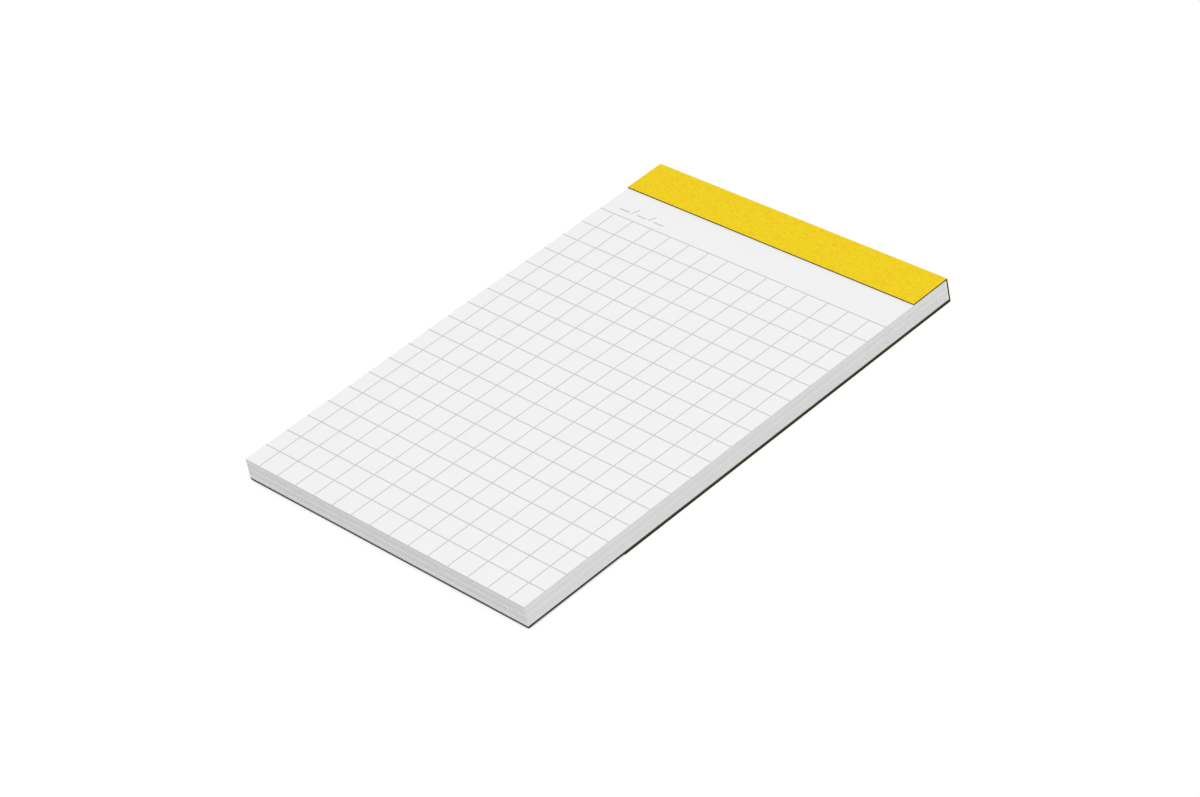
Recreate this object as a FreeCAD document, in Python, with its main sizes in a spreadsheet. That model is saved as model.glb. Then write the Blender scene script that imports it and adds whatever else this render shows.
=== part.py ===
import FreeCAD, Part
import os
import Sketcher

# A small gummed writing pad that lies flat: sheets, padding glue at the head, a backing board,
# and one folded card that starts as a band on top, goes over the head and runs under the board.
# X runs to the pad's right, Y from its foot to its head, and Z up. The origin is the middle of the
# rectangle that the pad covers, on the surface that it lies on.

# Driving dimensions in millimetres
SIZES = [
    ("pad_width", 72.8),
    ("sheet_length", 106.0),
    ("lowest_bundle", 0.64),
    ("lower_bundle", 1.40),
    ("upper_bundle", 1.50),
    ("top_bundle", 0.60),
    ("sheet_stagger", 0.045),
    ("board_thickness", 0.43),
    ("card_thickness", 0.30),
    ("glue_thickness", 0.40),
    ("inner_crease", 0.05),
    ("outer_crease", 0.18),
    ("band_length", 9.1),
    ("back_flap_length", 83.9),
]

# The bundles of sheets from the board up
BUNDLES = ["lowest_bundle", "lower_bundle", "upper_bundle", "top_bundle"]

# Heights from the underside up
ON_AXIS = "0"
BOARD_BOTTOM = "Sizes.card_thickness"
SHEETS_BOTTOM = BOARD_BOTTOM + " + Sizes.board_thickness"
SHEETS_TOP = " + ".join([SHEETS_BOTTOM] + ["Sizes." + bundle for bundle in BUNDLES])
PAD_TOP = SHEETS_TOP + " + Sizes.card_thickness"

# Distances from the foot to the head
SHEETS_HEAD = "Sizes.sheet_length"
GLUE_HEAD = SHEETS_HEAD + " + Sizes.glue_thickness"
PAD_HEAD = GLUE_HEAD + " + Sizes.card_thickness"
BAND_EDGE = PAD_HEAD + " - Sizes.band_length"
BACK_FLAP_END = PAD_HEAD + " - Sizes.back_flap_length"

# The radii of the card's two faces at a fold, which is creased first and so turns sharply
INNER_FOLD = "Sizes.inner_crease"
OUTER_FOLD = "Sizes.outer_crease"


class Count:
    """How a sketch counts an edge's two ends, its own axes and its origin."""
    START, END = 1, 2
    ALONG_AXIS, UP_AXIS = -1, -2
    ORIGIN = (-1, 1)


def add_sizes(document):
    """The sheet of driving dimensions, one named cell each."""
    table = document.addObject("Spreadsheet::Sheet", "Sizes")
    for row, (name, value) in enumerate(SIZES, start=1):
        table.set("A%d" % row, name)
        table.set("B%d" % row, str(value))
        table.setAlias("B%d" % row, name)
    document.recompute()
    return table


def add_body(document, label):
    """A piece that is drawn from the pad's foot and placed with the pad's middle at the origin."""
    body = document.addObject("PartDesign::Body", label)
    body.Label = label
    body.setExpression("Placement.Base.y", "-(" + PAD_HEAD + ") / 2")
    return body


def origin_plane(body, role):
    """One of the piece's own three planes."""
    return next(plane for plane in body.Origin.OriginFeatures if plane.Role == role)


def corner_points(corner, before, after, radius):
    """Start, end and centre of the fold at a square corner, or the corner itself three times."""
    from_start = (before - corner).normalize() * radius
    to_end = (after - corner).normalize() * radius
    return corner + from_start, corner + to_end, corner + from_start + to_end


def hold_edge(sketch, edge, corner, along):
    """Keep an edge level or upright, at its own distance from the foot or the underside."""
    distance, height = corner[0], corner[1]
    sketch.addConstraint(Sketcher.Constraint("Horizontal" if along else "Vertical", edge))
    expression = height if along else distance
    if expression == ON_AXIS:
        axis = Count.ALONG_AXIS if along else Count.UP_AXIS
        sketch.addConstraint(Sketcher.Constraint("PointOnObject", edge, Count.START, axis))
        return
    kind = "DistanceY" if along else "DistanceX"
    value = float(sketch.evalExpression(expression))
    held = Sketcher.Constraint(kind, *Count.ORIGIN, edge, Count.START, value)
    index = sketch.addConstraint(held)
    sketch.setExpression("Constraints[%d]" % index, expression)


def hold_fold(sketch, edge, next_edge, fold, radius):
    """Run a fold smoothly into the edges on its two sides, whichever of its ends they meet."""
    start, end = Count.START, Count.END
    meeting = sketch.getPoint(edge, end)
    starts_here = sketch.getPoint(fold, start).distanceToPoint(meeting) < sketch.Geometry[fold].Radius / 2
    near, far = (start, end) if starts_here else (end, start)
    sketch.addConstraint(Sketcher.Constraint("Tangent", edge, end, fold, near))
    sketch.addConstraint(Sketcher.Constraint("Tangent", next_edge, start, fold, far))
    value = sketch.evalExpression(radius)
    index = sketch.addConstraint(Sketcher.Constraint("Radius", fold, float(value)))
    sketch.setExpression("Constraints[%d]" % index, radius)


def add_outline(body, name, corners):
    """A closed outline of square corners in the plane that runs from foot to head.

    A corner is its distance from the foot, its height, and a radius if it is folded.
    """
    sketch = body.newObject("Sketcher::SketchObject", name)
    sketch.AttachmentSupport = [(origin_plane(body, "YZ_Plane"), "")]
    sketch.MapMode = "FlatFace"

    places = [FreeCAD.Vector(sketch.evalExpression(corner[0]), sketch.evalExpression(corner[1]), 0)
              for corner in corners]
    radii = [sketch.evalExpression(corner[2]) if len(corner) > 2 else 0.0 for corner in corners]
    count = len(corners)
    turns = [corner_points(places[i], places[i - 1], places[(i + 1) % count], float(radii[i]))
             for i in range(count)]

    edges = []
    for i in range(count):
        leaves, arrives = turns[i][1], turns[(i + 1) % count][0]
        edges.append(sketch.addGeometry(Part.LineSegment(leaves, arrives), False))
    for i in range(count):
        along = abs(places[(i + 1) % count].y - places[i].y) < abs(places[(i + 1) % count].x - places[i].x)
        hold_edge(sketch, edges[i], corners[i], along)

    for i in range(count):
        edge, next_edge = edges[i - 1], edges[i]
        if len(corners[i]) == 2:
            meeting = (edge, Count.END, next_edge, Count.START)
            sketch.addConstraint(Sketcher.Constraint("Coincident", *meeting))
            continue
        start, end, centre = turns[i]
        middle = centre + (places[i] - centre).normalize() * float(radii[i])
        fold = sketch.addGeometry(Part.Arc(start, middle, end), False)
        hold_fold(sketch, edge, next_edge, fold, corners[i][2])
    return sketch


def pad_across(body, name, sketch, width):
    """Give an outline its width, half to each side of the pad's middle."""
    pad = body.newObject("PartDesign::Pad", name)
    pad.Profile = sketch
    pad.SideType = "Symmetric"
    pad.setExpression("Length", width)
    body.Tip = pad
    body.Document.recompute()
    return pad


def make_paper_block(document):
    """The sheets, in bundles whose foot edges each lie a little further in than the one below."""
    body = add_body(document, "paper_block")
    bottom = SHEETS_BOTTOM
    for step, bundle in enumerate(BUNDLES):
        top = bottom + " + Sizes." + bundle
        setback = "%d * Sizes.sheet_stagger" % step if step else ON_AXIS
        sheets = add_outline(body, bundle + "_outline", [
            (setback, bottom),
            (SHEETS_HEAD, bottom),
            (SHEETS_HEAD, top),
            (setback, top),
        ])
        pad_across(body, bundle + "_sheets", sheets, "Sizes.pad_width")
        bottom = top
    return body


def make_padding_glue(document):
    """The film of glue on the sheets' head edge, rounded off where the card folds over it."""
    body = add_body(document, "padding_glue")
    film = add_outline(body, "film_outline", [
        (SHEETS_HEAD, SHEETS_BOTTOM),
        (GLUE_HEAD, SHEETS_BOTTOM),
        (GLUE_HEAD, SHEETS_TOP, INNER_FOLD),
        (SHEETS_HEAD, SHEETS_TOP),
    ])
    pad_across(body, "film", film, "Sizes.pad_width")
    return body


def make_backing_board(document):
    """The stiff board under the sheets and the glue."""
    body = add_body(document, "backing_board")
    board = add_outline(body, "board_outline", [
        (ON_AXIS, BOARD_BOTTOM),
        (GLUE_HEAD, BOARD_BOTTOM, INNER_FOLD),
        (GLUE_HEAD, SHEETS_BOTTOM),
        (ON_AXIS, SHEETS_BOTTOM),
    ])
    pad_across(body, "board", board, "Sizes.pad_width")
    return body


def make_cover_card(document):
    """One strip of card with two folds: band on top, head, and the flap under the board."""
    body = add_body(document, "cover_card")
    card = add_outline(body, "card_outline", [
        (BACK_FLAP_END, ON_AXIS),
        (PAD_HEAD, ON_AXIS, OUTER_FOLD),
        (PAD_HEAD, PAD_TOP, OUTER_FOLD),
        (BAND_EDGE, PAD_TOP),
        (BAND_EDGE, SHEETS_TOP),
        (GLUE_HEAD, SHEETS_TOP, INNER_FOLD),
        (GLUE_HEAD, BOARD_BOTTOM, INNER_FOLD),
        (BACK_FLAP_END, BOARD_BOTTOM),
    ])
    pad_across(body, "card", card, "Sizes.pad_width")
    return body


def check(document, bodies):
    """Stop before anything is written if an object failed or a piece isn't one sound solid."""
    failed = [item.Name for item in document.Objects if {"Invalid", "Error"} & set(item.State)]
    if failed:
        raise RuntimeError("failed objects: " + ", ".join(failed))
    for body in bodies:
        shape = body.Shape
        if shape.isNull() or not shape.isValid() or len(shape.Solids) != 1:
            raise RuntimeError(body.Label + " isn't one sound solid")


def write(bodies):
    """One STEP file for each piece, under the piece's own name."""
    os.makedirs("parts", exist_ok=True)
    for body in bodies:
        body.Shape.exportStep("parts/" + body.Label + ".step")
        box = body.Shape.BoundBox
        print("%-14s volume %9.2f mm3, x %.3f to %.3f, y %.3f to %.3f, z %.3f to %.3f" % (
            body.Label, body.Shape.Volume, box.XMin, box.XMax, box.YMin, box.YMax, box.ZMin, box.ZMax))


def main():
    document = FreeCAD.newDocument("legal_pad")
    add_sizes(document)
    bodies = [
        make_paper_block(document),
        make_padding_glue(document),
        make_backing_board(document),
        make_cover_card(document),
    ]
    document.recompute()
    check(document, bodies)
    write(bodies)


main()
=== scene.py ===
import math
import random

import bpy
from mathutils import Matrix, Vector, noise


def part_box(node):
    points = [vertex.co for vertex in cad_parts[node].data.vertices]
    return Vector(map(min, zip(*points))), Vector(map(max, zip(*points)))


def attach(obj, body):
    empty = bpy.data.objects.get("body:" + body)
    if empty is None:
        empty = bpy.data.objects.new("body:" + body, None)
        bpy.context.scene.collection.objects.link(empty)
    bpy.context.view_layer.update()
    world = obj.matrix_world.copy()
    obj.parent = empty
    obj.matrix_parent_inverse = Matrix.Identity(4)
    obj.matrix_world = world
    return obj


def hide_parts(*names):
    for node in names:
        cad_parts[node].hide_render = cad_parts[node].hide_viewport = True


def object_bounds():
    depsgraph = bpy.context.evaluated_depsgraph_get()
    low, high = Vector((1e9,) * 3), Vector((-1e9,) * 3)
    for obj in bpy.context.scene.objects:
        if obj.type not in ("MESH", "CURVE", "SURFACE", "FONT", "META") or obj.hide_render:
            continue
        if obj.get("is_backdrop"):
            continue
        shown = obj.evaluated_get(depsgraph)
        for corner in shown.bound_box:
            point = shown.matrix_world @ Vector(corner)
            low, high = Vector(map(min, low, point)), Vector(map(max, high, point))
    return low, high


# A small gummed writing pad: squared sheets, padding glue, backing board and a folded card.
# Lengths are in metres. X runs to the pad's right, Y from its foot to its head and Z up.

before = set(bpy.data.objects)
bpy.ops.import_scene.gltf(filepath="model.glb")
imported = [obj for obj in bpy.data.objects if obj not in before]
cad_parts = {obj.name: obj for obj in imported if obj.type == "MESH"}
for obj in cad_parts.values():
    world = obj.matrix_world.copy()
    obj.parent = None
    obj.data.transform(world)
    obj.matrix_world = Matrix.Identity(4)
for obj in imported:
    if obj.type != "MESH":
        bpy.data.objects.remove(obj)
cad_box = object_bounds()

MM = 0.001
TINY = 0.001 * MM
SEED = 7

# The camera, as it stands to the pad in the photograph
AZIMUTH, ELEVATION, ROLL = 52.879, 35.959, -12.720
DISTANCE = 634.58 * MM
TARGET = Vector((3.967, -3.939, 2.435)) * MM
LENS, SENSOR = 107.47, 36.0
NEAREST, FARTHEST = 0.05, 20.0

# The printed page
SQUARE = 5.0 * MM
COLUMN_LINES, ROW_LINES = 14, 18
LAST_ROW_TO_FOOT = 4.87 * MM
LINE_WIDTH = 0.27 * MM

# The blank date field above the squares: short rules with slashes between them
FIELD_LEFT = -32.8 * MM
FIELD_ABOVE_ROWS = 1.65 * MM
FIELD_HEIGHT = 1.65 * MM
RULE_LENGTH, RULES = 2.5 * MM, 3
FIELD_GAP = 0.45 * MM
SLASH_LEAN = 0.75 * MM
PEN_WIDTH = 0.36 * MM

# The sheets: the hairline between two of them, how far each lies out of line, and the edge's steps
SHEETS = 40
HAIRLINE, HAIRLINE_DEPTH = 0.012 * MM, 0.05 * MM
SHEET_SLIP = 0.012 * MM
STEPS_ACROSS, STEPS_ALONG = 30, 44

# The waves of a cut edge: depth, waves a metre, change from sheet to sheet, and each side's own row
EDGE_WAVE, EDGE_WAVES, SHEET_CHANGE = 0.008 * MM, 0.18 / MM, 0.37
RIGHT_ROW, LEFT_ROW, FOOT_ROW = 1.0, 2.0, 3.0

# Tone of the cut edges at heights above the table, soft from one to the next: sides, then foot
# The bands are partly the sheets' own tone and partly painted highlight and painted shade for light on the
# ledges; the foot's tones paint its light apart from the sides'.
SIDE_TONES_AND_PAINTED_LIGHT = [
    (0.73 * MM, 0.890),
    (1.30 * MM, 0.880),
    (2.30 * MM, 0.866),
    (2.87 * MM, 0.915),
    (3.42 * MM, 0.853),
    (4.28 * MM, 0.908),
    (4.60 * MM, 0.852),
    (4.87 * MM, 0.860),
]
FOOT_TONES_AND_PAINTED_LIGHT = [
    (0.73 * MM, 0.885),
    (1.40 * MM, 0.880),
    (2.25 * MM, 0.850),
    (2.90 * MM, 0.890),
    (3.42 * MM, 0.856),
    (4.28 * MM, 0.866),
    (4.60 * MM, 0.842),
    (4.87 * MM, 0.850),
]
FOOT_STRIP = 0.3 * MM

# The card: its yellow skin at the band, the head and the flap, its spring off the head, and its steps
BAND_SKIN, HEAD_SKIN, FLAP_SKIN = 0.060 * MM, 0.050 * MM, 0.065 * MM
CARD_BULGE = 0.02 * MM
CARD_STEPS_ACROSS = 40
CARD_STEP_LENGTH = 2.0 * MM
FOLD_STEPS, HEAD_STEPS = 8, 12

# The glue film: its gap to the card, its rounded top, and how its ends creep over the sheets
GLUE_GAP = 0.03 * MM
GLUE_ROUND = 0.09 * MM
GLUE_CREEP, GLUE_CREEP_WAVE = 0.12 * MM, 0.16 * MM
GLUE_SWELL, GLUE_ROOT = 0.025 * MM, 0.25 * MM
GLUE_STEPS = 60

# The waves up an end of the film: waves a metre, each end's own row, and the swell's share and finer step
GLUE_WAVES, GLUE_ROW = 1.7 / MM, 4.0
SWELL_WAVE, SWELL_FINER, SWELL_SHOULDER = 0.6, 2.0, 0.4

# Rounding of the cut edges of the board and the card, where they turn more than so many degrees
BOARD_BEVEL, CARD_BEVEL = 0.02 * MM, 0.015 * MM
BEVEL_STEPS = 2
SHARP_EDGE = 50.0

# Places of the materials in the printed sheet's list, and in the card's
PAPER, INK, CUT = 0, 1, 2
SKIN, CORE = 0, 1

# The levels through the card, each layer between the level of its own number and the next
OUTER, SEAM, INNER = 0, 1, 2

# Parts of a noise's range that a change of tone is spread over
WIDE_SPREAD, MIDDLE_SPREAD = (0.3, 0.7), (0.35, 0.65)
NICK_SPREAD, FLECK_SPREAD = (0.62, 0.80), (0.47, 0.70)
PLY_SPREAD, FIBRE_SPREAD = (0.45, 0.75), (0.66, 0.74)

# Paper and ink: tones, patterns a metre, and the felt's depth
PAPER_DARK, PAPER_LIGHT = 0.868, 0.880
INK_DARK, INK_LIGHT = 0.585, 0.635
PAPER_CLOUDS, INK_PATCHES = 180.0, 2600.0
FELT, FELT_DEPTH = 5200.0, 0.006 * MM

# Cut edges: patterns a metre along each axis, with the tone that each adds and its greatest share
STREAKS, STREAK_TONE, STREAK_SHARE = (15.0, 15.0, 8000.0), 0.80, 0.16
NICKS, NICK_TONE, NICK_SHARE = (700.0, 700.0, 9000.0), 0.70, 0.12
NAP, NAP_DEPTH = (2500.0, 2500.0, 9000.0), 0.004 * MM

# Glue: colours, patterns a metre, depth of the ripples, and roughness from glossy to dull
GLUE_DIM, GLUE_BRIGHT = (0.86, 0.86, 0.87), (0.93, 0.93, 0.94)
GLUE_CLOUDS = 1500.0
RIPPLES, RIPPLE_DEPTH = 1100.0, 0.02 * MM
GLUE_GLOSSY, GLUE_DULL = 0.4, 0.6

# Board: tones of the pulp, its plies and its pale fibres, and their patterns a metre
BOARD_DARK, BOARD_LIGHT = 0.042, 0.062
PULP, PULP_DEPTH = 700.0, 0.03 * MM
PLIES, PLY_TONE, PLY_SHARE = (40.0, 40.0, 9000.0), 0.036, 0.5
FIBRES, FIBRE_TONE, FIBRE_SHARE = (3200.0, 900.0, 3200.0), 0.15, 0.45

# Card: colours of the skin, its flecks and its core, patterns a metre, and depths of the felt and the pulp
CARD_DEEP, CARD_BRIGHT = (0.845, 0.618, 0.010), (0.890, 0.678, 0.014)
FLECKS, FLECK_COLOUR = 1700.0, (0.840, 0.500, 0.010)
CARD_GRAIN = 4200.0
CARD_FELT, CARD_FELT_DEPTH = 3600.0, 0.008 * MM
CORE_DARK, CORE_LIGHT = (0.006, 0.005, 0.003), (0.014, 0.012, 0.007)
CORE_PULP, CORE_DEPTH = 2400.0, 0.015 * MM

# The studio: a pale floor, even light all round, and a wide soft lamp on the camera's side
FLOOR_SIDE = 8.0
FLOOR_COLOUR = 0.55
FLOOR_SHOWN, FLOOR_GLOW = 0.25, 0.77
WORLD_LIGHT, WHITE = 0.597, 1.0
KEY_AZIMUTH, KEY_ELEVATION, KEY_DISTANCE = 62.0, 61.0, 4.0
KEY_SIZE, KEY_POWER = 3.2, 91.0

# Painted shadow on the floor close under an overhang: how near it counts, the floor's shown share there,
# and the openness at which no shade is painted
PAINTED_SHADOW_REACH, PAINTED_SHADOW_LEVEL, SHADOW_FREE_OPENNESS = 1.2 * MM, 0.15, 0.5
PAINTED_SHADOW_SAMPLES = 8


def mesh_piece(name, vertices, faces, slots, materials):
    """A mesh object from its points and faces, with the material that each face takes."""
    mesh = bpy.data.meshes.new(name)
    mesh.from_pydata([tuple(v) for v in vertices], [], faces)
    for material in materials:
        mesh.materials.append(material)
    mesh.polygons.foreach_set("material_index", slots)
    mesh.validate()
    mesh.update()
    piece = bpy.data.objects.new(name, mesh)
    bpy.context.scene.collection.objects.link(piece)
    return piece


def stacked_piece(name, rings, materials):
    """A closed skin through level rings of points, from the lowest up, all of one material."""
    around = len(rings[0])
    vertices = [point for ring in rings for point in ring]
    highest = len(vertices) - around
    faces = [tuple(range(around - 1, -1, -1)), tuple(range(highest, len(vertices)))]
    for base in range(0, highest, around):
        for i in range(around):
            j = (i + 1) % around
            faces.append((base + i, base + j, base + around + j, base + around + i))
    return mesh_piece(name, vertices, faces, [0] * len(faces), materials)


def soften(piece, width):
    """A small bevel on the sharp edges of a piece."""
    bevel = piece.modifiers.new("softened edges", "BEVEL")
    bevel.width = width
    bevel.segments = BEVEL_STEPS
    bevel.limit_method = "ANGLE"
    bevel.angle_limit = math.radians(SHARP_EDGE)


# Materials

class Nodes:
    """A short way to lay out one material's nodes."""

    def __init__(self, name):
        self.material = bpy.data.materials.new(name)
        self.material.use_nodes = True
        self.tree = self.material.node_tree
        self.shader = self.tree.nodes["Principled BSDF"]
        self.place = self.tree.nodes.new("ShaderNodeTexCoord").outputs["Object"]

    def set(self, socket, value):
        """Link a socket to another node's output, or give it a constant value."""
        if isinstance(value, bpy.types.NodeSocket):
            self.tree.links.new(value, socket)
        elif socket.type == "RGBA":
            socket.default_value = (*value, 1.0)
        else:
            socket.default_value = value

    def add(self, kind, **inputs):
        """A node with some of its inputs set, each under its own name."""
        node = self.tree.nodes.new(kind)
        for key, value in inputs.items():
            self.set(node.inputs[key.replace("_", " ")], value)
        return node

    def along(self, axis):
        """The piece's own coordinate along an axis."""
        return self.add("ShaderNodeSeparateXYZ", Vector=self.place).outputs[axis]

    def noise(self, scale, detail=3.0, roughness=0.5, distortion=0.0):
        """A noise with so many patterns a metre, in one number or along each axis."""
        vector = self.place
        if isinstance(scale, tuple):
            vector = self.add("ShaderNodeMapping", Vector=vector, Scale=scale).outputs["Vector"]
            scale = 1.0
        node = self.add("ShaderNodeTexNoise", Vector=vector, Scale=scale,
                        Detail=detail, Roughness=roughness, Distortion=distortion)
        return node.outputs["Fac"]

    def felt(self, scale=FELT, detail=3.0, roughness=0.65, distortion=0.6, depth=FELT_DEPTH):
        """Fine fibres as bump."""
        self.bump(self.noise(scale, detail, roughness, distortion), depth)

    def ramp(self, value, spread, to_low, to_high):
        """A value over a spread brought to between to_low and to_high."""
        low, high = spread
        node = self.add("ShaderNodeMapRange", Value=value, From_Min=low, From_Max=high,
                        To_Min=to_low, To_Max=to_high)
        return node.outputs["Result"]

    def mix(self, value, spread, first, second, most=1.0):
        """From the first colour to the second as a value goes over a spread, by a share at the most."""
        node = self.tree.nodes.new("ShaderNodeMix")
        node.data_type = "RGBA"
        self.set(node.inputs["Factor"], self.ramp(value, spread, 0.0, most))
        for key, colour in (("A", first), ("B", second)):
            self.set(next(s for s in node.inputs if s.name == key and s.type == "RGBA"), colour)
        return next(s for s in node.outputs if s.type == "RGBA")

    def by_height(self, tones):
        """A grey that changes softly with height, from (height, tone) pairs."""
        low, high = tones[0][0], tones[-1][0]
        share = self.ramp(self.along("Z"), (low, high), 0.0, 1.0)
        node = self.add("ShaderNodeValToRGB", Fac=share)
        node.color_ramp.interpolation = "EASE"
        stops = node.color_ramp.elements
        while len(stops) < len(tones):
            stops.new(position=0.5)
        for stop, (place, tone) in zip(stops, tones):
            stop.position = (place - low) / (high - low)
            stop.color = (*grey(tone), 1.0)
        return node.outputs["Color"]

    def bump(self, height, depth):
        """Relief by a height from 0 to 1, of so many metres in all."""
        node = self.add("ShaderNodeBump", Height=height, Strength=1.0, Distance=depth)
        self.set(self.shader.inputs["Normal"], node.outputs["Normal"])

    def finish(self, colour, roughness, specular):
        """The material, with its colour and its gloss."""
        self.set(self.shader.inputs["Base Color"], colour)
        self.set(self.shader.inputs["Roughness"], roughness)
        self.set(self.shader.inputs["Specular IOR Level"], specular)
        return self.material


def grey(level):
    return (level, level, level)


def paper_material():
    """Uncoated paper: soft clouds in the sheet, and a fine felt of fibres."""
    nodes = Nodes("page_paper")
    clouds = nodes.noise(PAPER_CLOUDS, detail=4.0, roughness=0.6)
    nodes.felt()
    cloudy = nodes.mix(clouds, WIDE_SPREAD, grey(PAPER_DARK), grey(PAPER_LIGHT))
    return nodes.finish(cloudy, roughness=0.9, specular=0.2)


def ink_material():
    """Pale grey printing ink, a little patchy where the paper is rough."""
    nodes = Nodes("grey_ink")
    patches = nodes.noise(INK_PATCHES, detail=2.0)
    nodes.felt()
    patchy = nodes.mix(patches, MIDDLE_SPREAD, grey(INK_DARK), grey(INK_LIGHT))
    return nodes.finish(patchy, roughness=0.8, specular=0.2)


def sheet_edge_material():
    """Cut edges of the stack: soft streaks along each side, bands of tone by height that are partly the
    sheets' own tone and partly painted highlight and painted shade, and fine nicks.
    """
    nodes = Nodes("sheet_edges")
    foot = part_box("paper_block")[0].y
    past_foot = (foot + FOOT_STRIP / 2, foot + FOOT_STRIP)
    # Sides and foot take their own tones by height, with painted highlight and painted shade in them.
    at_foot, at_sides = nodes.by_height(FOOT_TONES_AND_PAINTED_LIGHT), nodes.by_height(SIDE_TONES_AND_PAINTED_LIGHT)
    tones_and_painted_light = nodes.mix(nodes.along("Y"), past_foot, at_foot, at_sides)
    streaks = nodes.noise(STREAKS, detail=1.0)
    streaked = nodes.mix(streaks, MIDDLE_SPREAD, tones_and_painted_light, grey(STREAK_TONE), most=STREAK_SHARE)
    nicks = nodes.noise(NICKS, detail=2.0)
    nicked = nodes.mix(nicks, NICK_SPREAD, streaked, grey(NICK_TONE), most=NICK_SHARE)
    nodes.bump(nodes.noise(NAP), NAP_DEPTH)
    return nodes.finish(nicked, roughness=0.92, specular=0.15)


def glue_material():
    """Padding glue: milky, a little glossy, with small ripples."""
    nodes = Nodes("padding_glue")
    clouds = nodes.noise(GLUE_CLOUDS)
    milky = nodes.mix(clouds, WIDE_SPREAD, GLUE_DIM, GLUE_BRIGHT)
    nodes.bump(nodes.noise(RIPPLES, detail=2.0), RIPPLE_DEPTH)
    gloss = nodes.ramp(clouds, WIDE_SPREAD, GLUE_GLOSSY, GLUE_DULL)
    return nodes.finish(milky, roughness=gloss, specular=0.4)


def board_material():
    """Dark grey pulp board: paler and darker clouds, plies along its cut edges, and pale fibres."""
    nodes = Nodes("grey_board")
    pulp = nodes.noise(PULP, detail=5.0, roughness=0.7)
    plies = nodes.noise(PLIES, detail=2.0)
    fibres = nodes.noise(FIBRES, detail=2.0, distortion=1.5)
    cloudy = nodes.mix(pulp, WIDE_SPREAD, grey(BOARD_DARK), grey(BOARD_LIGHT))
    layered = nodes.mix(plies, PLY_SPREAD, cloudy, grey(PLY_TONE), most=PLY_SHARE)
    flecked = nodes.mix(fibres, FIBRE_SPREAD, layered, grey(FIBRE_TONE), most=FIBRE_SHARE)
    nodes.bump(pulp, PULP_DEPTH)
    return nodes.finish(flecked, roughness=0.9, specular=0.2)


def card_skin_material():
    """The card's yellow face: fine amber flecks in an even yellow, and a light felt texture."""
    nodes = Nodes("yellow_card")
    flecks = nodes.noise(FLECKS, roughness=0.62, distortion=0.6)
    grain = nodes.noise(CARD_GRAIN, detail=2.0, roughness=0.6)
    yellow = nodes.mix(grain, MIDDLE_SPREAD, CARD_DEEP, CARD_BRIGHT)
    flecked = nodes.mix(flecks, FLECK_SPREAD, yellow, FLECK_COLOUR)
    nodes.felt(CARD_FELT, roughness=0.6, distortion=0.0, depth=CARD_FELT_DEPTH)
    return nodes.finish(flecked, roughness=0.8, specular=0.12)


def card_core_material():
    """The card's black pulp, seen at its cut edges and inside."""
    nodes = Nodes("black_core")
    pulp = nodes.noise(CORE_PULP)
    black = nodes.mix(pulp, WIDE_SPREAD, CORE_DARK, CORE_LIGHT)
    nodes.bump(pulp, CORE_DEPTH)
    return nodes.finish(black, roughness=0.9, specular=0.08)


# The stack of sheets

def sheet_bundles():
    """Top, half width and foot of each bundle of sheets, from the stack's ledges."""
    levels = {}
    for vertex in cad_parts["paper_block"].data.vertices:
        levels.setdefault(round(vertex.co.z / TINY), []).append(vertex.co)
    return [(level * TINY, max(c.x for c in levels[level]), min(c.y for c in levels[level]))
            for level in sorted(levels)[1:]]


def bundle_at(bundles, height):
    """Half width and foot of the bundle that a height lies in."""
    return next((half, foot) for top, half, foot in bundles if height < top)


def edge_ring(half, foot, head, inset, slip, number):
    """Points round one sheet: right side, head, left side and foot, with slightly wavy cut edges."""
    left, right = -half + inset + slip.x, half - inset + slip.x
    near = foot + inset + slip.y

    def wave(place, row):
        return EDGE_WAVE * noise.noise(Vector((place * EDGE_WAVES, row, number * SHEET_CHANGE)))

    ys = [near + (head - near) * step / STEPS_ALONG for step in range(STEPS_ALONG + 1)]
    xs = [left + (right - left) * step / STEPS_ACROSS for step in range(1, STEPS_ACROSS)]
    ring = [(right + wave(y, RIGHT_ROW), y) for y in ys]
    ring += [(left + wave(y, LEFT_ROW), y) for y in reversed(ys)]
    ring += [(x, near + wave(x, FOOT_ROW)) for x in xs]
    return ring


def make_sheet_stack(materials):
    """All sheets but the top one, with a hairline between neighbours, as one closed skin."""
    low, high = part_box("paper_block")
    pitch = (high.z - low.z) / SHEETS
    bundles = sheet_bundles()
    rings = []
    for number in range(SHEETS - 1):
        bottom = low.z + number * pitch
        half, foot = bundle_at(bundles, bottom + pitch / 2)
        slip = Vector((random.uniform(-1, 1), random.uniform(-1, 1), 0)) * SHEET_SLIP
        outer = edge_ring(half, foot, high.y, 0.0, slip, number)
        inner = edge_ring(half, foot, high.y, HAIRLINE_DEPTH, slip, number)
        top = bottom + pitch - HAIRLINE
        for ring, height in ((inner, bottom), (outer, bottom), (outer, top), (inner, top)):
            rings.append([(x, y, height) for x, y in ring])
    piece = stacked_piece("sheet_stack", rings, materials)
    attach(piece, "root")
    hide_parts("paper_block")


# The glue film

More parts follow.
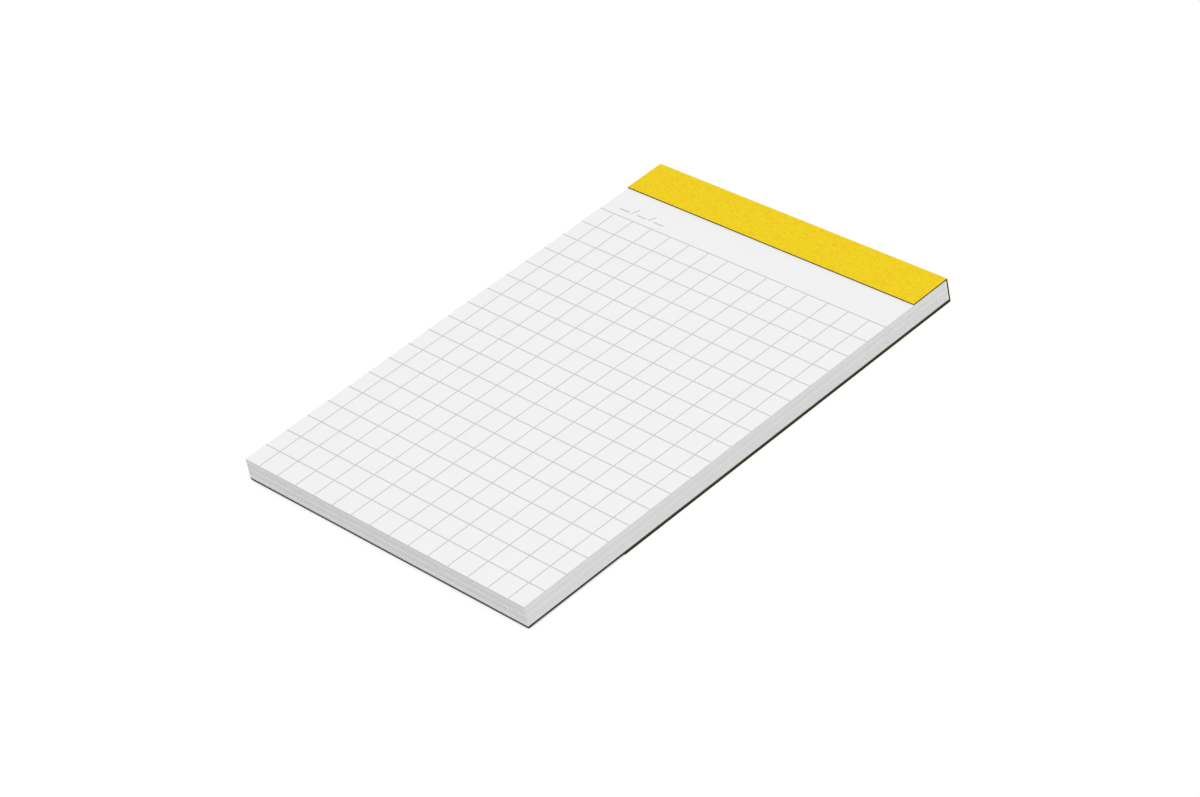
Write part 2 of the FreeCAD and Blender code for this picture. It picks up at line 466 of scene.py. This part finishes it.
def film_row(low, high, height, side):
    """One level line round an end of the film, from over the sheets to the film's head face."""
    place = Vector((height * GLUE_WAVES, side * GLUE_ROW, 0.0))
    creep = low.y - GLUE_CREEP - GLUE_CREEP_WAVE * noise.noise(place)
    swell = GLUE_SWELL * (1.0 + SWELL_WAVE * noise.noise(place * SWELL_FINER))
    over_round = max(0.0, height - (high.z - GLUE_ROUND))
    head = high.y - GLUE_GAP - GLUE_ROUND + math.sqrt(max(0.0, GLUE_ROUND ** 2 - over_round ** 2))
    outline = [
        (-GLUE_ROOT, creep),
        (swell * SWELL_SHOULDER, creep + GLUE_CREEP / 2),
        (swell, low.y + GLUE_CREEP / 2),
        (swell, (low.y + head) / 2),
        (swell * SWELL_SHOULDER, head - GLUE_GAP),
        (-GLUE_GAP, head),
    ]
    return [(side * (high.x + out), y, height) for out, y in outline]


def make_glue_film(materials):
    """The film of glue on the sheets' head: its ends swell a little and creep over the sheets."""
    low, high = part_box("padding_glue")
    rings = []
    for step in range(GLUE_STEPS + 1):
        height = low.z + (high.z - low.z) * step / GLUE_STEPS
        rings.append(film_row(low, high, height, 1) + film_row(low, high, height, -1)[::-1])
    piece = stacked_piece("glue_film", rings, materials)
    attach(piece, "root")
    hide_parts("padding_glue")


# The printed top sheet

def inside(value, spans):
    return any(low < value < high for low, high in spans)


class Print:
    """Where the page's printed lines and its date field lie, as spans across and along the pad."""

    def __init__(self, foot):
        rows = [foot + LAST_ROW_TO_FOOT + i * SQUARE for i in range(ROW_LINES)]
        columns = [(i - (COLUMN_LINES - 1) / 2) * SQUARE for i in range(COLUMN_LINES)]
        self.rows = [(y - LINE_WIDTH / 2, y + LINE_WIDTH / 2) for y in rows]
        self.columns = [(x - LINE_WIDTH / 2, x + LINE_WIDTH / 2) for x in columns]
        self.header = rows[-1]

        self.baseline = self.header + FIELD_ABOVE_ROWS
        self.cap = self.baseline + FIELD_HEIGHT
        step = RULE_LENGTH + 2 * FIELD_GAP + SLASH_LEAN + PEN_WIDTH
        lefts = [FIELD_LEFT + i * step for i in range(RULES)]
        self.rules = [(left, left + RULE_LENGTH) for left in lefts]
        slashes = [right + FIELD_GAP for left, right in self.rules[:-1]]
        self.slashes = [(x, x + PEN_WIDTH, x + SLASH_LEAN, x + SLASH_LEAN + PEN_WIDTH) for x in slashes]

    def rule_band(self):
        """The height of the date field's rules on the page."""
        return (self.baseline, self.baseline + PEN_WIDTH)

    def cuts_across(self, half):
        """Every place across the page where its face is cut."""
        spans = self.columns + self.rules + self.slashes
        return sorted({-half, half} | {x for span in spans for x in span})

    def cuts_along(self, foot, head):
        """Every place along the page where its face is cut."""
        spans = self.rows + [self.rule_band()]
        return sorted({foot, head, self.cap} | {y for span in spans for y in span})

    def has_ink(self, x, y):
        """Whether a place lies on a line of the squares or on a rule of the date field."""
        on_row = inside(y, self.rows)
        on_column = y < self.header and inside(x, self.columns)
        on_rule = inside(y, [self.rule_band()]) and inside(x, self.rules)
        return on_row or on_column or on_rule


def slash_faces(at, columns, lowest, highest):
    """The cells that a slash crosses: the paper left of it, the slash, and the paper right of it.

    The four columns are the slash's foot, left and right, and its top, left and right.
    """
    a, b, c, d = columns
    over = [at(i, highest) for i in range(c, a, -1)]
    left_side = [at(a, j) for j in range(highest, lowest, -1)]
    under = [at(i, lowest) for i in range(b, d)]
    right_side = [at(d, j) for j in range(lowest, highest)]
    return [
        (at(a, lowest), *over, *left_side),
        (at(a, lowest), at(b, lowest), at(d, highest), at(c, highest)),
        (*under, *right_side, at(d, highest)),
    ]


def rim_of(at, wide, deep):
    """The points round the upper face, from the left of its foot."""
    rim = [at(i, 0) for i in range(wide)]
    rim += [at(wide, j) for j in range(deep)]
    rim += [at(i, deep) for i in range(wide, 0, -1)]
    rim += [at(0, j) for j in range(deep, 0, -1)]
    return rim


def make_printed_sheet(materials):
    """The top sheet, its upper face cut along every printed line so that the ink lies in it."""
    low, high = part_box("paper_block")
    bottom = high.z - (high.z - low.z) / SHEETS
    _, half, foot = sheet_bundles()[-1]
    marks = Print(foot)
    xs, ys = marks.cuts_across(half), marks.cuts_along(foot, high.y)
    vertices = [(x, y, high.z) for y in ys for x in xs]

    def at(i, j):
        return j * len(xs) + i

    faces, slots, taken = [], [], set()
    lowest, highest = ys.index(marks.baseline), ys.index(marks.cap)
    for slash in marks.slashes:
        columns = [xs.index(x) for x in slash]
        faces += slash_faces(at, columns, lowest, highest)
        slots += [PAPER, INK, PAPER]
        taken.update((i, j) for i in range(columns[0], columns[-1]) for j in range(lowest, highest))

    wide, deep = len(xs) - 1, len(ys) - 1
    for j in range(deep):
        for i in range(wide):
            if (i, j) in taken:
                continue
            faces.append((at(i, j), at(i + 1, j), at(i + 1, j + 1), at(i, j + 1)))
            middle = (xs[i] + xs[i + 1]) / 2, (ys[j] + ys[j + 1]) / 2
            slots.append(INK if marks.has_ink(*middle) else PAPER)

    rim = rim_of(at, wide, deep)
    start = len(vertices)
    vertices += [(vertices[k][0], vertices[k][1], bottom) for k in rim]
    for i in range(len(rim)):
        j = (i + 1) % len(rim)
        faces.append((rim[j], rim[i], start + i, start + j))
        slots.append(CUT)
    faces.append(tuple(range(len(vertices) - 1, start - 1, -1)))
    slots.append(PAPER)
    piece = mesh_piece("printed_sheet", vertices, faces, slots, materials)
    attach(piece, "root")


# The folded card

def shares(steps):
    """The share of a stretch that lies behind each of its steps, without the last."""
    return [step / steps for step in range(steps)]


def steps_over(length):
    return max(1, round(length / CARD_STEP_LENGTH))


def run(start, end, steps):
    """Points from one place to another, without the last."""
    return [start.lerp(end, share) for share in shares(steps)]


def quarter_turn(centre, radius, first):
    """Points round a fold, from an angle in degrees down by a quarter turn, without the last."""
    angles = [math.radians(first - 90.0 * share) for share in shares(FOLD_STEPS)]
    return [centre + radius * Vector((math.cos(angle), math.sin(angle))) for angle in angles]


class CardFace:
    """One face of the card: the heights of its top and bottom, its head, and the radius of its folds."""

    def __init__(self, top, bottom, head, radius):
        self.top, self.bottom, self.head, self.radius = top, bottom, head, radius
        self.turn = head - radius

    def points(self, band_edge, flap_end, band_steps, flap_steps):
        """Points from the band's edge, round the head where the card springs, to the flap's end."""
        upper, lower = Vector((self.turn, self.top)), Vector((self.turn, self.bottom))
        end = Vector((flap_end, self.bottom))
        to_centre = Vector((0.0, self.radius))
        springs = [Vector((CARD_BULGE * math.sin(math.pi * share), 0.0)) for share in shares(HEAD_STEPS)]
        head_top = Vector((self.head, self.top - self.radius))
        head_bottom = Vector((self.head, self.bottom + self.radius))
        over_head = run(head_top, head_bottom, HEAD_STEPS)

        points = run(Vector((band_edge, self.top)), upper, band_steps)
        points += quarter_turn(upper - to_centre, self.radius, 90.0)
        points += [place + spring for place, spring in zip(over_head, springs)]
        points += quarter_turn(lower + to_centre, self.radius, 0.0)
        points += run(lower, end, flap_steps)
        return points + [end]


def skin_thicknesses(band_steps, flap_steps):
    """The skin's thickness at each point of the card's faces, blended over the two folds."""
    skins = [BAND_SKIN] * band_steps
    skins += [BAND_SKIN + (HEAD_SKIN - BAND_SKIN) * share for share in shares(FOLD_STEPS)]
    skins += [HEAD_SKIN] * HEAD_STEPS
    skins += [HEAD_SKIN + (FLAP_SKIN - HEAD_SKIN) * share for share in shares(FOLD_STEPS)]
    return skins + [FLAP_SKIN] * (flap_steps + 1)


def card_path():
    """The card from the band's edge to the back flap's end, and the card's thickness.

    Each point is its place on the outer face, its place on the inner face, and the skin's thickness.
    """
    low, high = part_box("cover_card")
    corners = [v.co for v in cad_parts["cover_card"].data.vertices]
    band_edge = min(c.y for c in corners if c.z > high.z - TINY)
    thickness = min(c.z for c in corners if c.z > low.z + TINY and c.y < low.y + TINY) - low.z
    top, bottom, head = high.z - thickness, low.z + thickness, high.y - thickness
    outer_radius = high.y - max(c.y for c in corners if c.z > high.z - TINY)
    inner_radius = top - max(c.z for c in corners if abs(c.y - head) < TINY)

    outer = CardFace(high.z, low.z, high.y, outer_radius)
    inner = CardFace(top, bottom, head, inner_radius)
    steps = (steps_over(outer.turn - band_edge), steps_over(outer.turn - low.y))
    faces = [face.points(band_edge, low.y, *steps) for face in (outer, inner)]
    return list(zip(*faces, skin_thicknesses(*steps))), thickness


def make_folded_card(materials):
    """A yellow skin on a black core, folded round the head of the pad."""
    low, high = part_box("cover_card")
    path, thickness = card_path()
    last, across = len(path) - 1, CARD_STEPS_ACROSS
    vertices, index = [], {}
    for p, (outer, inner, skin) in enumerate(path):
        for level, share in enumerate((0.0, skin / thickness, 1.0)):
            y, z = outer.lerp(inner, share)
            for s in range(across + 1):
                if level == SEAM and 0 < s < across and 0 < p < last:
                    continue
                x = low.x + (high.x - low.x) * s / across
                index[p, level, s] = len(vertices)
                vertices.append((x, y, z))

    faces, slots = [], []

    def quad(slot, *corners):
        faces.append(tuple(index[corner] for corner in corners))
        slots.append(slot)

    for p in range(last):
        for s in range(across):
            quad(SKIN, (p, OUTER, s), (p, OUTER, s + 1), (p + 1, OUTER, s + 1), (p + 1, OUTER, s))
            quad(CORE, (p, INNER, s), (p + 1, INNER, s), (p + 1, INNER, s + 1), (p, INNER, s + 1))
        for d in (SKIN, CORE):
            quad(d, (p, d, 0), (p + 1, d, 0), (p + 1, d + 1, 0), (p, d + 1, 0))
            quad(d, (p, d, across), (p, d + 1, across), (p + 1, d + 1, across), (p + 1, d, across))
    for s in range(across):
        for d in (SKIN, CORE):
            quad(d, (0, d, s), (0, d + 1, s), (0, d + 1, s + 1), (0, d, s + 1))
            quad(d, (last, d, s), (last, d, s + 1), (last, d + 1, s + 1), (last, d + 1, s))
    piece = mesh_piece("folded_card", vertices, faces, slots, materials)
    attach(piece, "root")
    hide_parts("cover_card")
    soften(piece, CARD_BEVEL)


# The backing board

def dress_board(material):
    """The board stays as it is, with its own pulp and slightly softened cut edges."""
    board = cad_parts["backing_board"]
    board.data.materials.clear()
    board.data.materials.append(material)
    soften(board, BOARD_BEVEL)


# Stage, light and camera

def level_between(tree, share, low, high):
    """A level from low to high by a share, where low and high are numbers or sockets."""
    node = tree.nodes.new("ShaderNodeMapRange")
    tree.links.new(share, node.inputs["Value"])
    for key, value in (("To Min", low), ("To Max", high)):
        if isinstance(value, bpy.types.NodeSocket):
            tree.links.new(value, node.inputs[key])
        else:
            node.inputs[key].default_value = value
    return node.outputs["Result"]


def seen_by_camera(tree):
    """1 for rays from the camera, straight or by a mirror or glass, and 0 for light."""
    path = tree.nodes.new("ShaderNodeLightPath")
    value = path.outputs["Is Camera Ray"]
    for name in ("Is Glossy Ray", "Is Transmission Ray"):
        either = tree.nodes.new("ShaderNodeMath")
        either.operation = "MAXIMUM"
        tree.links.new(value, either.inputs[0])
        tree.links.new(path.outputs[name], either.inputs[1])
        value = either.outputs[0]
    return value


def painted_shadow_share(tree):
    """Painted shadow: 1 where the floor lies open, and less where most of what lies over it is close."""
    closeness = tree.nodes.new("ShaderNodeAmbientOcclusion")
    closeness.samples = PAINTED_SHADOW_SAMPLES
    closeness.inputs["Distance"].default_value = PAINTED_SHADOW_REACH
    share = tree.nodes.new("ShaderNodeMapRange")
    share.inputs["From Max"].default_value = SHADOW_FREE_OPENNESS
    tree.links.new(closeness.outputs["AO"], share.inputs["Value"])
    return share.outputs["Result"]


def floor_material():
    """A pale floor as light meets it, shown white to the camera but for the pad's shadow, with a painted
    shadow close under the overhang.
    """
    material = bpy.data.materials.new("pale_floor")
    material.use_nodes = True
    tree = material.node_tree
    tree.nodes.clear()
    output = tree.nodes.new("ShaderNodeOutputMaterial")
    diffuse = tree.nodes.new("ShaderNodeBsdfDiffuse")
    glow = tree.nodes.new("ShaderNodeEmission")
    both = tree.nodes.new("ShaderNodeAddShader")
    seen, unshadowed_share = seen_by_camera(tree), painted_shadow_share(tree)
    for socket, unseen, shown in ((diffuse.inputs["Color"], FLOOR_COLOUR, FLOOR_SHOWN),
                                  (glow.inputs["Strength"], 0.0, FLOOR_GLOW)):
        # Close under the overhang the shown colour and glow are darkened: a painted shadow.
        to_camera = level_between(tree, unshadowed_share, shown * PAINTED_SHADOW_LEVEL, shown)
        tree.links.new(level_between(tree, seen, unseen, to_camera), socket)
    tree.links.new(diffuse.outputs[0], both.inputs[0])
    tree.links.new(glow.outputs[0], both.inputs[1])
    tree.links.new(both.outputs[0], output.inputs["Surface"])
    return material


def make_floor():
    reach = FLOOR_SIDE / 2
    corners = [(-reach, -reach, 0), (reach, -reach, 0), (reach, reach, 0), (-reach, reach, 0)]
    floor = mesh_piece("floor", corners, [(0, 1, 2, 3)], [0], [floor_material()])
    floor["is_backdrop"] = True


def make_world():
    """Even studio light from all round, and white where the camera looks past the floor."""
    world = bpy.data.worlds.new("studio")
    world.use_nodes = True
    tree = world.node_tree
    background = tree.nodes["Background"]
    strength = level_between(tree, seen_by_camera(tree), WORLD_LIGHT, WHITE)
    tree.links.new(strength, background.inputs["Strength"])
    background.inputs["Color"].default_value = (*grey(WHITE), 1.0)
    bpy.context.scene.world = world


def towards(azimuth, elevation):
    """Direction from the pad at an angle round from its foot to its right, and an angle up."""
    azimuth, elevation = math.radians(azimuth), math.radians(elevation)
    level = Vector((math.sin(azimuth), -math.cos(azimuth), 0.0)) * math.cos(elevation)
    return level + Vector((0.0, 0.0, math.sin(elevation)))


def make_key_light():
    """A wide soft lamp high above the pad, on the camera's side, so that its shadow falls behind."""
    data = bpy.data.lights.new("key", "AREA")
    data.shape = "SQUARE"
    data.size = KEY_SIZE
    data.energy = KEY_POWER
    lamp = bpy.data.objects.new("key", data)
    lamp.location = towards(KEY_AZIMUTH, KEY_ELEVATION) * KEY_DISTANCE
    lamp.rotation_mode = "QUATERNION"
    lamp.rotation_quaternion = Vector(lamp.location).to_track_quat("Z", "Y")
    bpy.context.scene.collection.objects.link(lamp)


def make_camera():
    """The camera, set by its direction from the pad, its roll and its distance."""
    back = towards(AZIMUTH, ELEVATION)
    level = Vector((0.0, 0.0, 1.0)).cross(back).normalized()
    upright = back.cross(level)
    roll = math.radians(ROLL)
    right = level * math.cos(roll) + upright * math.sin(roll)
    up = upright * math.cos(roll) - level * math.sin(roll)
    data = bpy.data.cameras.new("camera")
    data.sensor_fit = "HORIZONTAL"
    data.sensor_width = SENSOR
    data.lens = LENS
    data.clip_start, data.clip_end = NEAREST, FARTHEST
    camera = bpy.data.objects.new("camera", data)
    matrix = camera.matrix_world.copy()
    for column, axis in enumerate((right, up, back, TARGET + back * DISTANCE)):
        for row in range(3):
            matrix[row][column] = axis[row]
    camera.matrix_world = matrix
    bpy.context.scene.collection.objects.link(camera)
    bpy.context.scene.camera = camera


random.seed(SEED)
paper, ink, edges = paper_material(), ink_material(), sheet_edge_material()
skin, core = card_skin_material(), card_core_material()

make_camera()
make_sheet_stack([edges])
make_printed_sheet([paper, ink, edges])
make_glue_film([glue_material()])
make_folded_card([skin, core])

dress_board(board_material())

make_floor()
make_world()
make_key_light()
bpy.context.scene.view_settings.view_transform = "Standard"

boxes = {"cad": cad_box, "visual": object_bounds()}
{name: [list(corner) for corner in box] for name, box in boxes.items()}
